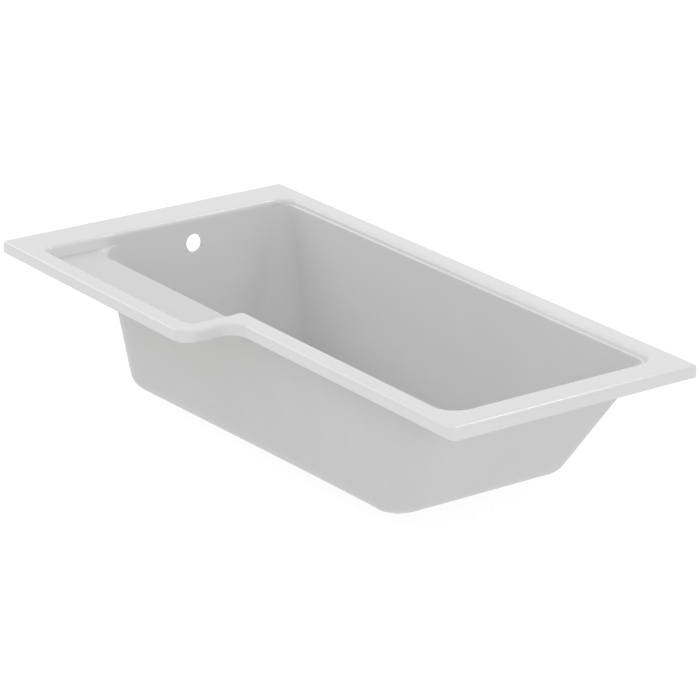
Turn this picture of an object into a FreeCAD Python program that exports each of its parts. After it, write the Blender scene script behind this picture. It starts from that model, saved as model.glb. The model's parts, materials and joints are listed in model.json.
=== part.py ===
import FreeCAD, Part
import math
import os
import Sketcher

# An L-shaped shower bath: one thermoformed acrylic sheet, backed with glass fibre, stiffened by a
# board under the floor, a board under the shower shelf and battens under the rim.
# The frame: +X from the drain end to the narrow backrest end, +Y from the front panel side to the
# wall side, +Z up. The origin is the middle of the footprint, on the surface that the bath rests on.

doc = FreeCAD.newDocument("shower_bath")
sheet = doc.addObject("Spreadsheet::Sheet", "sizes")

# Driving dimensions, in millimetres and degrees

SIZES = {
    # outline of the rim
    "bath_length": 1700,
    "wide_width": 850,
    "narrow_width": 700,
    "wide_length": 847,
    "outer_corner_radius": 12,
    "step_outer_radius": 42,
    "step_inner_radius": 48,
    "lip_depth": 30,
    "lip_edge_radius": 10,
    # wall of the bath
    "acrylic_thickness": 5,
    "backing_thickness": 3,
    # opening inside the rim, measured at rim level
    "drain_end_rim": 113,
    "narrow_end_rim": 85,
    "side_rim": 54,
    "shelf_front_rim": 53,
    "step_rim": 50,
    "opening_edge_radius": 10,
    "opening_wall_corner_radius": 50,
    "opening_narrow_corner_radius": 55,
    "shelf_end_corner_radius": 15,
    "shelf_step_corner_radius": 25,
    "step_nose_radius": 15,
    # how far a round may go: along the side that it rounds, and of the corner that its edge turns
    "corner_limit_share": 0.45,
    "edge_limit_share": 0.9,
    "least_corner_radius": 1,
    # ledge and shelf below the opening
    "ledge_drop": 15,
    "ledge_setback": 6,
    "shelf_drop": 31,
    # basin, inside
    "basin_depth": 380,
    "drain_end_slope": 5.7,
    "backrest_slope": 35.6,
    "side_slope": 5.2,
    "floor_fall": 1.1,
    "drain_top_corner_radius": 58,
    "drain_floor_corner_radius": 107,
    "backrest_top_corner_radius": 40,
    "backrest_floor_corner_radius": 67,
    "floor_edge_radius": 37,
    # holes
    "overflow_diameter": 48,
    "overflow_drop": 70,
    "waste_diameter": 52,
    "waste_from_foot": 150,
    "waste_seat_diameter": 74,
    "waste_seat_depth": 1.5,
    # board under the floor
    "board_thickness": 15,
    "board_side_inset": 95,
    "board_drain_inset": 90,
    "board_backrest_inset": 120,
    "board_corner_radius": 20,
    "bedding_least": 3,
    "board_overlay_thickness": 2,
    "waste_access_diameter": 100,
    # battens and shelf board
    "batten_height": 20,
    "batten_clearance": 2.5,
    "batten_overlay_thickness": 1.5,
    "panel_gap": 12,
    "shelf_board_thickness": 9,
    "shelf_board_inset": 16,
    # how far a cut starts outside what it cuts
    "cut_overrun": 2,
}


class Size:
    """A number together with the sheet formula that gives it."""

    def __init__(self, value, formula):
        self.value = value
        self.formula = formula

    def join(self, other, sign, value):
        text = other.formula if isinstance(other, Size) else str(other)
        return Size(value, f"({self.formula} {sign} {text})")

    def __add__(self, other):
        return self.join(other, "+", self.value + number(other))

    def __sub__(self, other):
        return self.join(other, "-", self.value - number(other))

    def __mul__(self, other):
        return self.join(other, "*", self.value * number(other))

    def __truediv__(self, other):
        return self.join(other, "/", self.value / number(other))

    def __neg__(self):
        return Size(-self.value, f"(-1 * {self.formula})")


def number(thing):
    """The plain number of a Size or of a number."""
    return thing.value if isinstance(thing, Size) else thing


def sine(angle):
    return Size(math.sin(math.radians(angle.value)), f"sin({angle.formula} * 1 deg)")


def cosine(angle):
    return Size(math.cos(math.radians(angle.value)), f"cos({angle.formula} * 1 deg)")


def tangent(angle):
    return Size(math.tan(math.radians(angle.value)), f"tan({angle.formula} * 1 deg)")


def least(first, second):
    return Size(min(first.value, second.value), f"min({first.formula}; {second.formula})")


def greatest(first, second):
    return Size(max(first.value, second.value), f"max({first.formula}; {second.formula})")


for row, (alias, value) in enumerate(SIZES.items(), start=1):
    sheet.set(f"A{row}", alias)
    sheet.set(f"B{row}", str(value))
    sheet.setAlias(f"B{row}", alias)
doc.recompute()


def size(alias):
    return Size(SIZES[alias], f"sizes.{alias}")


ZERO = Size(0, "0")
ACRYLIC = size("acrylic_thickness")
BACKING = size("backing_thickness")
WALL = ACRYLIC + BACKING
OVERRUN = size("cut_overrun")
TOLERANCE = 1e-4

# Planes of the inside surface, each with the place where it meets the rim's top

DRAIN_END_X = size("drain_end_rim") - size("bath_length") / 2
OPENING_END_X = size("bath_length") / 2 - size("narrow_end_rim")
BASIN_END_X = OPENING_END_X - size("ledge_setback")
STEP_FACE_X = size("wide_length") - size("bath_length") / 2
SHELF_STEP_X = STEP_FACE_X - size("step_rim")
WALL_Y = size("wide_width") / 2
FRONT_Y = -WALL_Y
NARROW_FRONT_Y = WALL_Y - size("narrow_width")
OPENING_WALL_Y = WALL_Y - size("side_rim")
OPENING_FRONT_Y = NARROW_FRONT_Y + size("side_rim")
SHELF_FRONT_Y = FRONT_Y + size("shelf_front_rim")
BASIN_WALL_Y = OPENING_WALL_Y - size("ledge_setback")
BASIN_FRONT_Y = OPENING_FRONT_Y + size("ledge_setback")
CENTRE_Y = (BASIN_WALL_Y + BASIN_FRONT_Y) / 2
STEP_LIMIT = (NARROW_FRONT_Y - FRONT_Y) * size("corner_limit_share")
SHELF_LIMIT = (OPENING_FRONT_Y - SHELF_FRONT_Y) * size("corner_limit_share")

# The floor: a plane that rises from the foot of the drain end towards the backrest

DEPTH = size("basin_depth")
FALL = size("floor_fall")
FOOT_X = DRAIN_END_X + DEPTH * tangent(size("drain_end_slope"))
DRAIN_LEAN = size("drain_end_slope") - FALL
BACKREST_LEAN = size("backrest_slope") + FALL
BACKREST_RUN = (BASIN_END_X - FOOT_X) * cosine(FALL) + DEPTH * sine(FALL)
BACKREST_RISE = DEPTH * cosine(FALL) - (BASIN_END_X - FOOT_X) * sine(FALL)
FLOOR_LENGTH = BACKREST_RUN - BACKREST_RISE * tangent(BACKREST_LEAN)
MIDDLE_DEPTH = DEPTH - FLOOR_LENGTH / 2 * sine(FALL)

# Height of the rim's top above the surface that the bath rests on

BOARD_TOP = size("board_overlay_thickness") + size("board_thickness")
RIM_TOP = BOARD_TOP + size("bedding_least") + DEPTH + WALL / cosine(FALL)


def foot_shift(offset, lean):
    """How far a wall's foot moves out along the floor when wall and floor both move out."""
    return offset * (-sine(lean) + 1) / cosine(lean)


def wall_shift(offset, depth, slope):
    """How far out a sloping wall stands at a depth below the rim, once it has moved out."""
    return offset / cosine(size(slope)) - depth * tangent(size(slope))


def inner_radius(radius, offset):
    """A convex corner's radius once it has moved in by an offset."""
    return greatest(radius - offset, size("least_corner_radius"))


def nose_radius(offset):
    """Plan radius where the shelf's opening turns into the narrow part's."""
    return least(inner_radius(size("step_nose_radius"), offset), SHELF_LIMIT)


def drop_outline(offset, depth, foot=False):
    """L-shaped outline of the opening: inside the rim, or with foot=True inside the ledge."""
    side = wall_shift(offset, depth, "side_slope")
    x_drain = DRAIN_END_X - wall_shift(offset, depth, "drain_end_slope")
    x_step = SHELF_STEP_X + side
    y_shelf = SHELF_FRONT_Y - side
    if foot:
        x_end = BASIN_END_X + wall_shift(offset, depth, "backrest_slope")
        y_front, y_wall = BASIN_FRONT_Y - side, BASIN_WALL_Y + side
        wall_radius = corner_radius("drain", offset, depth)
        end_radius = corner_radius("backrest", offset, depth)
    else:
        x_end = OPENING_END_X + side
        y_front, y_wall = OPENING_FRONT_Y - side, OPENING_WALL_Y + side
        wall_radius = size("opening_wall_corner_radius") + offset
        end_radius = size("opening_narrow_corner_radius") + offset
    return [
        (x_drain, y_shelf, least(size("shelf_end_corner_radius") + offset, SHELF_LIMIT)),
        (x_step, y_shelf, least(size("shelf_step_corner_radius") + offset, SHELF_LIMIT)),
        (x_step, y_front, nose_radius(offset)),
        (x_end, y_front, end_radius),
        (x_end, y_wall, end_radius),
        (x_drain, y_wall, wall_radius),
    ]


def corner_radius(end, offset, depth):
    """Plan radius of the two corners at one end of the basin, which grows with the depth."""
    growth = size(f"{end}_floor_corner_radius") - size(f"{end}_top_corner_radius")
    return size(f"{end}_top_corner_radius") + growth * depth / DEPTH + offset


def basin_outline(offset, depth):
    """Rectangular outline of the basin at a depth below the rim."""
    side = wall_shift(offset, depth, "side_slope")
    x_drain = DRAIN_END_X - wall_shift(offset, depth, "drain_end_slope")
    x_end = BASIN_END_X + wall_shift(offset, depth, "backrest_slope")
    y_front, y_wall = BASIN_FRONT_Y - side, BASIN_WALL_Y + side
    radii = [corner_radius(end, offset, depth) for end in ("drain", "backrest")]
    return rectangle(x_drain, x_end, y_front, y_wall, *radii)


def floor_outline(offset):
    """Outline of the basin's floor, along the sloping plane from the foot of the drain end."""
    x_drain = -foot_shift(offset, DRAIN_LEAN)
    x_end = FLOOR_LENGTH + foot_shift(offset, BACKREST_LEAN)
    side = foot_shift(offset, size("side_slope")) - MIDDLE_DEPTH * tangent(size("side_slope"))
    y_front, y_wall = BASIN_FRONT_Y - side, BASIN_WALL_Y + side
    radii = [size(f"{end}_floor_corner_radius") + offset for end in ("drain", "backrest")]
    return rectangle(x_drain, x_end, y_front, y_wall, *radii)


def rim_outline(inset):
    """L-shaped outline of the rim, moved in by an inset."""
    x_drain = inset - size("bath_length") / 2
    x_end = size("bath_length") / 2 - inset
    x_step = STEP_FACE_X - inset
    y_front, y_wall, y_narrow = FRONT_Y + inset, WALL_Y - inset, NARROW_FRONT_Y + inset
    corner = inner_radius(size("outer_corner_radius"), inset)
    return [
        (x_drain, y_front, corner),
        (x_step, y_front, least(inner_radius(size("step_outer_radius"), inset), STEP_LIMIT)),
        (x_step, y_narrow, least(size("step_inner_radius") + inset, STEP_LIMIT)),
        (x_end, y_narrow, corner),
        (x_end, y_wall, corner),
        (x_drain, y_wall, corner),
    ]


def rectangle(x_low, x_high, y_low, y_high, low_radius, high_radius):
    """Four corners, with one radius at the low end of X and one at the high end."""
    return [
        (x_low, y_low, low_radius),
        (x_high, y_low, high_radius),
        (x_high, y_high, high_radius),
        (x_low, y_high, low_radius),
    ]


def origin_plane(body, role):
    for feature in body.Origin.OriginFeatures:
        if feature.Role == role:
            return feature


def place_sketch(sketch, body, plane, origin, axis, tilt):
    """Lays a sketch on an origin plane, moved to an origin and tilted about an axis of the plane."""
    sketch.AttachmentSupport = (origin_plane(body, plane), "")
    sketch.MapMode = "FlatFace"
    turn = FreeCAD.Rotation(FreeCAD.Vector(*axis), tilt.value)
    base = FreeCAD.Vector(*[length.value for length in origin])
    sketch.AttachmentOffset = FreeCAD.Placement(base, turn)
    for direction, length in zip("xyz", origin):
        sketch.setExpression(f"AttachmentOffset.Base.{direction}", length.formula)
    if tilt is not ZERO:
        sketch.setExpression("AttachmentOffset.Rotation.Angle", f"{tilt.formula} * 1 deg")


def hold(sketch, name, kind, *where):
    """Adds one driving dimension to a sketch and binds it to the sheet."""
    *places, length = where
    index = sketch.addConstraint(Sketcher.Constraint(kind, *places, length.value))
    sketch.renameConstraint(index, name)
    sketch.setExpression(f"Constraints.{name}", length.formula)


def hold_place(sketch, name, kind, line, length):
    """Fixes a straight side's distance from the sketch's origin, kept positive for the solver."""
    if length.value >= 0:
        hold(sketch, name, kind, -1, 1, line, 1, length)
    else:
        hold(sketch, name, kind, line, 1, -1, 1, -length)


def draw_outline(body, name, corners, height, x=ZERO, tilt=ZERO):
    """Sketches a closed outline of straight sides with a round corner at each of its points.

    It lies level at a height, or is tilted so that it rises along X from a place on that axis.
    """
    sketch = body.newObject("Sketcher::SketchObject", name)
    place_sketch(sketch, body, "XY_Plane", (x, ZERO, height), (0, -1, 0), tilt)
    points = [FreeCAD.Vector(cx.value, cy.value, 0) for cx, cy, _ in corners]
    count = len(corners)
    arcs = []
    for i, (_, _, radius) in enumerate(corners):
        before = (points[i] - points[i - 1]).normalize()
        after = (points[(i + 1) % count] - points[i]).normalize()
        left_turn = before.cross(after).z > 0
        centre = points[i] - before * radius.value + after * radius.value
        start = points[i] - before * radius.value - centre
        end = points[i] + after * radius.value - centre
        if not left_turn:
            start, end = end, start
        angles = [math.atan2(v.y, v.x) for v in (start, end)]
        if angles[1] < angles[0]:
            angles[1] += 2 * math.pi
        circle = Part.Circle(centre, FreeCAD.Vector(0, 0, 1), radius.value)
        index = sketch.addGeometry(Part.ArcOfCircle(circle, *angles), False)
        arcs.append((index, left_turn, points[i] - before * radius.value, points[i] + after * radius.value))
    for i in range(count):
        arc, left_turn, _, leave = arcs[i]
        arc_next, left_next, reach, _ = arcs[(i + 1) % count]
        line = sketch.addGeometry(Part.LineSegment(leave, reach), False)
        sketch.addConstraint(Sketcher.Constraint("Tangent", line, 1, arc, 2 if left_turn else 1))
        sketch.addConstraint(Sketcher.Constraint("Tangent", line, 2, arc_next, 1 if left_next else 2))
        level = abs(leave.y - reach.y) < abs(leave.x - reach.x)
        sketch.addConstraint(Sketcher.Constraint("Horizontal" if level else "Vertical", line))
        if level:
            hold_place(sketch, f"side_{i + 1}", "DistanceY", line, corners[i][1])
        else:
            hold_place(sketch, f"side_{i + 1}", "DistanceX", line, corners[i][0])
        hold(sketch, f"radius_{i + 1}", "Radius", arc, corners[i][2])
    return sketch


def draw_circle(body, name, plane, origin, diameter, tilt=ZERO):
    """Sketches a circle round an origin on a plane of the body."""
    sketch = body.newObject("Sketcher::SketchObject", name)
    place_sketch(sketch, body, plane, origin, (-1, 0, 0), tilt)
    circle = Part.Circle(FreeCAD.Vector(0, 0, 0), FreeCAD.Vector(0, 0, 1), diameter.value / 2)
    sketch.addGeometry(circle, False)
    sketch.addConstraint(Sketcher.Constraint("Coincident", 0, 3, -1, 1))
    hold(sketch, "diameter", "Diameter", 0, diameter)
    return sketch


def loft(body, name, kind, first, second):
    """Joins two outlines by straight walls, adding or removing the space between them."""
    feature = body.newObject(f"PartDesign::{kind}Loft", name)
    feature.Profile = first
    feature.Sections = [second]
    feature.Ruled = True
    feature.Refine = True
    doc.recompute()
    return feature


def tub_space(body, name, kind, offset, top):
    """The space of the bath below a level: opening, shelf and basin, moved out by an offset.

    It is three lofts, one on another: down to the ledge, down to the shelf and down to the floor.
    """
    ledge = size("ledge_drop") + offset
    shelf = size("shelf_drop") + offset
    levels = [
        ("opening", drop_outline(offset, top), top, drop_outline(offset, ledge), ledge),
        ("shelf", drop_outline(offset, ledge, True), ledge, drop_outline(offset, shelf, True), shelf),
    ]
    for part, upper, high, lower, low in levels:
        first = draw_outline(body, f"{name}_{part}_top", upper, RIM_TOP - high)
        second = draw_outline(body, f"{name}_{part}_foot", lower, RIM_TOP - low)
        loft(body, f"{name}_{part}", kind, first, second)
    first = draw_outline(body, f"{name}_basin_top", basin_outline(offset, shelf), RIM_TOP - shelf)
    height = RIM_TOP - DEPTH - offset * cosine(FALL)
    x = FOOT_X + offset * sine(FALL)
    second = draw_outline(body, f"{name}_floor", floor_outline(offset), height, x, FALL)
    return loft(body, f"{name}_basin", kind, first, second)


def new_body(label):
    body = doc.addObject("PartDesign::Body", label)
    body.Label = label
    return body


def pad(body, name, outline, length, kind="Pad"):
    """Pads an outline upwards, or as a Pocket cuts it downwards."""
    feature = body.newObject(f"PartDesign::{kind}", name)
    feature.Profile = outline
    feature.Length = length.value
    feature.setExpression("Length", length.formula)
    doc.recompute()
    return feature


def subtract(body, name, tool):
    """Cuts a tool body out of a body."""
    feature = body.newObject("PartDesign::Boolean", name)
    feature.Type = "Cut"
    feature.setObjects([tool])
    doc.recompute()
    return feature


def fillet(body, name, feature, edges, radius):
    """Rounds edges of the body's last feature."""
    rounding = body.newObject("PartDesign::Fillet", name)
    rounding.Base = (feature, edges)
    rounding.Radius = radius.value
    rounding.setExpression("Radius", radius.formula)
    rounding.Refine = True
    doc.recompute()
    return rounding


def edges_where(feature, test):
    """Names of a feature's edges whose end points and middle all pass a test."""
    names = []
    for i, edge in enumerate(feature.Shape.Edges, start=1):
        middle = edge.valueAt((edge.FirstParameter + edge.LastParameter) / 2)
        spots = [v.Point for v in edge.Vertexes] + [middle]
        if all(test(p) for p in spots):
            names.append(f"Edge{i}")
    return names


def rim_edges(feature, outer):
    """Names of the edges round the rim's top face: its outer wire, or the wire of the opening."""
    tops = [f for f in feature.Shape.Faces if abs(f.BoundBox.ZMin - RIM_TOP.value) < TOLERANCE]
    top = max(tops, key=lambda f: f.Area)
    wanted = [e for w in top.Wires if w.isSame(top.OuterWire) == outer for e in w.Edges]
    names = [f"Edge{i}" for i, e in enumerate(feature.Shape.Edges, start=1)
             if any(e.isSame(other) for other in wanted)]
    return names


def on_floor(offset):
    """Test for points on the floor plane, moved out by an offset."""
    slope = math.tan(math.radians(FALL.value))
    shift = offset.value / math.cos(math.radians(FALL.value))
    level = RIM_TOP.value - DEPTH.value - shift

    def test(p):
        return abs(p.z - level - (p.x - FOOT_X.value) * slope) < TOLERANCE
    return test


def tub_body(label, offset, top):
    """A body that fills the tub, moved out by an offset, with its floor's edge rounded."""
    body = new_body(label)
    space = tub_space(body, label, "Additive", offset, top)
    fillet(body, f"{label}_floor_round", space, edges_where(space, on_floor(offset)),
           size("floor_edge_radius") + offset)
    return body


# Places of the two holes

WASTE_X = FOOT_X + size("waste_from_foot")
WASTE_FLOOR = RIM_TOP - DEPTH + size("waste_from_foot") * tangent(FALL)
ABOVE_WASTE = (WASTE_X, CENTRE_Y, WASTE_FLOOR + OVERRUN)
DRAIN_SLOPE = size("drain_end_slope")
OVERFLOW_X = DRAIN_END_X + size("overflow_drop") * tangent(DRAIN_SLOPE) + OVERRUN * cosine(DRAIN_SLOPE)
OVERFLOW_Z = RIM_TOP - size("overflow_drop") + OVERRUN * sine(DRAIN_SLOPE)


def drill(body):
    """Cuts the overflow hole square through the drain end and the waste hole down through the floor."""
    overflow = draw_circle(body, f"{body.Label}_overflow", "YZ_Plane",
                           (CENTRE_Y, OVERFLOW_Z, OVERFLOW_X), size("overflow_diameter"), DRAIN_SLOPE)
    pad(body, f"{body.Label}_overflow_hole", overflow, WALL + OVERRUN * 2, "Pocket")
    waste = draw_circle(body, f"{body.Label}_waste", "XY_Plane", ABOVE_WASTE, size("waste_diameter"))
    pad(body, f"{body.Label}_waste_hole", waste, WASTE_FLOOR + OVERRUN, "Pocket")


# The acrylic sheet: rim and lip, hollow from below, with the tub's walls hanging in the opening

inside = tub_body("inside_space", ZERO, -OVERRUN)
opening_edge = least(size("opening_edge_radius"), nose_radius(ZERO) * size("edge_limit_share"))
sharpest_corner = least(size("outer_corner_radius"), least(size("step_outer_radius"), STEP_LIMIT))
lip_edge = least(size("lip_edge_radius"), sharpest_corner * size("edge_limit_share"))
shell = new_body("acrylic_shell")
rim_sketch = draw_outline(shell, "rim_outline", rim_outline(ZERO), RIM_TOP - size("lip_depth"))
pad(shell, "rim", rim_sketch, size("lip_depth"))
under_sketch = draw_outline(shell, "under_rim", rim_outline(ACRYLIC), RIM_TOP - ACRYLIC)
pad(shell, "rim_hollow", under_sketch, size("lip_depth"), "Pocket")
walls = tub_space(shell, "walls", "Additive", ACRYLIC, ACRYLIC / 2)
fillet(shell, "walls_floor_round", walls, edges_where(walls, on_floor(ACRYLIC)),
       size("floor_edge_radius") + ACRYLIC)
opened = subtract(shell, "open_tub", inside)
opening_round = fillet(shell, "opening_edge_round", opened, rim_edges(opened, False), opening_edge)
fillet(shell, "lip_edge_round", opening_round, rim_edges(opening_round, True), lip_edge)
seat = draw_circle(shell, "waste_seat_outline", "XY_Plane", ABOVE_WASTE, size("waste_seat_diameter"))
pad(shell, "waste_seat", seat, size("waste_seat_depth") + OVERRUN, "Pocket")
drill(shell)

# The glass fibre laminate: a skin over the whole outside of the tub, up to the rim's underside

backing_space = tub_body("backing_space", ACRYLIC, ACRYLIC - OVERRUN)
backing = tub_body("glass_fibre_backing", WALL, ACRYLIC)
subtract(backing, "fit_to_acrylic", backing_space)
drill(backing)

# The board under the floor, its bedding and the laminate that seals it to the tub


def board_outline(outset):
    """Outline of the board under the floor, seen from above, moved out by an outset."""
    foot = MIDDLE_DEPTH * tangent(size("side_slope"))
    x_low = FOOT_X + size("board_drain_inset") - outset
    x_high = FOOT_X + FLOOR_LENGTH * cosine(FALL) - size("board_backrest_inset") + outset
    y_low = BASIN_FRONT_Y + foot + size("board_side_inset") - outset
    y_high = BASIN_WALL_Y - foot - size("board_side_inset") + outset
    radius = size("board_corner_radius") + outset
    return rectangle(x_low, x_high, y_low, y_high, radius, radius)


def below_floor(body, name, kind, outset, low):
    """The space from a level up to the laminate's sloping underside, within the board's outline."""
    x = FOOT_X + WALL * sine(FALL)
    height = RIM_TOP - DEPTH - WALL * cosine(FALL)
    level = board_outline(outset)
    sloping = [((cx - x) / cosine(FALL), cy, radius) for cx, cy, radius in level]
    first = draw_outline(body, f"{name}_level", level, low)
    second = draw_outline(body, f"{name}_slope", sloping, height, x, FALL)
    return loft(body, name, kind, first, second)


def open_for_waste(body):
    """Cuts the opening that gives room for the waste fitting."""
    circle = draw_circle(body, f"{body.Label}_access", "XY_Plane", ABOVE_WASTE,
                         size("waste_access_diameter"))
    pad(body, f"{body.Label}_access_hole", circle, WASTE_FLOOR + OVERRUN * 2, "Pocket")


bedding = new_body("board_bedding")
below_floor(bedding, "bedding", "Additive", ZERO, BOARD_TOP)
open_for_waste(bedding)

board = new_body("baseboard")
board_sketch = draw_outline(board, "board_outline", board_outline(ZERO), size("board_overlay_thickness"))
pad(board, "board", board_sketch, size("board_thickness"))
open_for_waste(board)

overlay = new_body("baseboard_overlay")
below_floor(overlay, "overlay", "Additive", size("board_overlay_thickness"), ZERO)
below_floor(overlay, "overlay_inside", "Subtractive", ZERO, size("board_overlay_thickness"))
open_for_waste(overlay)

# Battens under the rim and the board under the shelf, each a rectangular length in its laminate

CLEARANCE = size("batten_clearance")
UNDER_RIM = RIM_TOP - ACRYLIC
SIDE_SHIFT = wall_shift(WALL, ACRYLIC, "side_slope")
PANEL_SPACE = ACRYLIC + size("panel_gap")
WIDE_END = PANEL_SPACE - size("bath_length") / 2
NARROW_END = size("bath_length") / 2 - PANEL_SPACE
FRONT_SIDE = FRONT_Y + PANEL_SPACE
NARROW_FRONT_SIDE = NARROW_FRONT_Y + PANEL_SPACE
WALL_SIDE = WALL_Y - ACRYLIC - CLEARANCE
WALL_BATTEN_Y = OPENING_WALL_Y + SIDE_SHIFT + CLEARANCE
BATTEN_WIDTH = WALL_SIDE - WALL_BATTEN_Y
NARROW_BATTEN_Y = OPENING_FRONT_Y - SIDE_SHIFT - CLEARANCE
STEP_BATTEN_X = SHELF_STEP_X + SIDE_SHIFT + CLEARANCE
STEP_SIDE = STEP_FACE_X - PANEL_SPACE
APART = CLEARANCE * 2
SHELF_DEPTH = size("shelf_drop") + WALL
SHELF_INSET = least(size("shelf_board_inset"), SHELF_LIMIT)
SHELF_SHIFT = wall_shift(WALL, SHELF_DEPTH, "side_slope") - SHELF_INSET
SHELF_DRAIN_SHIFT = wall_shift(WALL, SHELF_DEPTH, "drain_end_slope") - SHELF_INSET
UNDER_SHELF = RIM_TOP - SHELF_DEPTH

BATTENS = {
    "wall_side_batten": (WIDE_END, NARROW_END, WALL_BATTEN_Y, WALL_SIDE),
    "wide_end_batten": (WIDE_END, WIDE_END + BATTEN_WIDTH, FRONT_SIDE, WALL_BATTEN_Y - APART),
    "front_wide_batten": (WIDE_END + BATTEN_WIDTH + APART,
                          STEP_BATTEN_X - APART,
                          FRONT_SIDE, SHELF_FRONT_Y - SIDE_SHIFT - CLEARANCE),
    "step_batten": (STEP_BATTEN_X, STEP_SIDE,
                    FRONT_SIDE + least(size("step_outer_radius"), STEP_LIMIT) / 2,
                    NARROW_BATTEN_Y - nose_radius(WALL)),
    "front_narrow_batten": (STEP_SIDE + APART, NARROW_END - BATTEN_WIDTH - APART,
                            NARROW_FRONT_SIDE, NARROW_BATTEN_Y),
    "narrow_end_batten": (NARROW_END - BATTEN_WIDTH, NARROW_END,
                          NARROW_FRONT_SIDE, WALL_BATTEN_Y - APART),
}


def new_box(label, x_low, x_high, y_low, y_high, top, thickness):
    """A rectangular block below a level."""
    block = doc.addObject("Part::Box", label)
    block.Label = label
    sides = {
        "Length": x_high - x_low,
        "Width": y_high - y_low,
        "Height": thickness,
        "Placement.Base.x": x_low,
        "Placement.Base.y": y_low,
        "Placement.Base.z": top - thickness,
    }
    for name, length in sides.items():
        block.setExpression(name, length.formula)
    return block


def laminated_block(label, x_low, x_high, y_low, y_high, top, thickness):
    """A block under a surface, and the laminate over its sides and underside."""
    block = new_box(label, x_low, x_high, y_low, y_high, top, thickness)
    skin = size("batten_overlay_thickness")
    outer = new_box(f"{label}_overlay_outer", x_low - skin, x_high + skin, y_low - skin, y_high + skin,
                    top, thickness + skin)
    inner = new_box(f"{label}_overlay_inner", x_low, x_high, y_low, y_high, top, thickness)
    cover = doc.addObject("Part::Cut", f"{label}_overlay")
    cover.Label = f"{label}_overlay"
    cover.Base = outer
    cover.Tool = inner
    return [block, cover]


blocks = []
for label, sides in BATTENS.items():
    blocks += laminated_block(label, *sides, UNDER_RIM, size("batten_height"))
blocks += laminated_block("shelf_board", DRAIN_END_X - SHELF_DRAIN_SHIFT, SHELF_STEP_X + SHELF_SHIFT,
                          SHELF_FRONT_Y - SHELF_SHIFT,
                          BASIN_FRONT_Y - wall_shift(WALL, SHELF_DEPTH, "side_slope") - CLEARANCE,
                          UNDER_SHELF, size("shelf_board_thickness"))
doc.recompute()

# Check every object, then write one file for each piece

pieces = [shell, backing, bedding, board, overlay] + blocks
for thing in doc.Objects:
    if "Invalid" in thing.State or "Error" in thing.State:
        raise RuntimeError(f"{thing.Label} did not recompute: {thing.State}")
for piece in pieces:
    if piece.Shape.isNull() or not piece.Shape.isValid() or len(piece.Shape.Solids) != 1:
        raise RuntimeError(f"{piece.Label} is not one valid solid")

os.makedirs("parts", exist_ok=True)
for piece in pieces:
    piece.Shape.exportStep(f"parts/{piece.Label}.step")
    box = piece.Shape.BoundBox
    print(f"{piece.Label}: {piece.Shape.Volume / 1000:.1f} cm3,",
          f"x {box.XMin:.1f} to {box.XMax:.1f}, y {box.YMin:.1f} to {box.YMax:.1f},",
          f"z {box.ZMin:.1f} to {box.ZMax:.1f}")
print(f"rim top {RIM_TOP.value:.2f}, foot {FOOT_X.value:.2f}, floor {FLOOR_LENGTH.value:.2f},",
      f"waste {WASTE_X.value:.2f} at {WASTE_FLOOR.value:.2f}, overflow at {OVERFLOW_Z.value:.2f}")
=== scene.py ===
# %% [markdown]
# # An L-shaped shower bath
# The bath is one thermoformed sheet of white acrylic. A skin of glass fibre laminate on its outside makes
# it stiff, with a board under the floor, a board under the shower shelf and battens under the rim.
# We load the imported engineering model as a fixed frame, and then dress it: the acrylic sheet and its
# laminate become smooth meshes, the laminate over the battens is grown by Geometry Nodes, and what is
# hidden keeps its plain solid and gets a material.

# %% Load the frame
import json
import math

import bmesh
import bpy
import numpy as np
from mathutils import Matrix, Vector

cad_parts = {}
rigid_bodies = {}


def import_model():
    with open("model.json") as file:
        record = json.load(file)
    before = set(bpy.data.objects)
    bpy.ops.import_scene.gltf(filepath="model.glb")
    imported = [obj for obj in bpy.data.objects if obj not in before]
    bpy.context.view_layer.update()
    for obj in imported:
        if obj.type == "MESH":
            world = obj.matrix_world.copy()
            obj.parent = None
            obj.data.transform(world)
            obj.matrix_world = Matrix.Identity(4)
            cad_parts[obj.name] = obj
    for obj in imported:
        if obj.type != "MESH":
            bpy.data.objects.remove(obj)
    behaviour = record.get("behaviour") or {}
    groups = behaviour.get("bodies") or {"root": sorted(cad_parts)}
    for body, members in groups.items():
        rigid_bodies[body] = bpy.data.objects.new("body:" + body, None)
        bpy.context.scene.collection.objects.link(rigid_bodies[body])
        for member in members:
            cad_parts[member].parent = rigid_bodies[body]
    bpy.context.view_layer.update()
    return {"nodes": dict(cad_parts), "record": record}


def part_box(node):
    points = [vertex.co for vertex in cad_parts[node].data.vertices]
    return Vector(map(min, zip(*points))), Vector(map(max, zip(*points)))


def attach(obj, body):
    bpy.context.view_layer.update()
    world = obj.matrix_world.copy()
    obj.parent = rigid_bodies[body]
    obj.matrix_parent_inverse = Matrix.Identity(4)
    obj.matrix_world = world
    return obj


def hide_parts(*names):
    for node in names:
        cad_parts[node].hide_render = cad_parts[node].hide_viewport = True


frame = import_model()
MM = 0.001
mounts = {mount["name"]: mount for mount in frame["record"]["mounts"]}
print("nodes:", len(frame["nodes"]), "mounts:", sorted(mounts))

# %% [markdown]
# ## Sizes
# The outer box of the acrylic sheet comes from the frame. The other sizes are those of the real bath, in
# millimetres, as a bath maker would name them. Every shape below is worked out from these.

# %% Outline of the rim, the opening and the basin
shell_low, shell_high = (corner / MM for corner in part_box("acrylic_shell"))
RIM_TOP = shell_high.z
X_DRAIN, X_NARROW = shell_low.x, shell_high.x
Y_FRONT, Y_WALL = shell_low.y, shell_high.y
WIDE_LENGTH, NARROW_WIDTH = 847, 700
X_STEP = X_DRAIN + WIDE_LENGTH
Y_NARROW_FRONT = Y_WALL - NARROW_WIDTH
# Corners of the rim's outside, and the two curves of its step.
OUTER_CORNER, STEP_OUTER, STEP_INNER = 12, 42, 48
# The lip's depth, the round over its top and the one along its trimmed edge.
LIP_DEPTH, LIP_EDGE, TRIMMED_EDGE = 30, 10, 0.8
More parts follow.
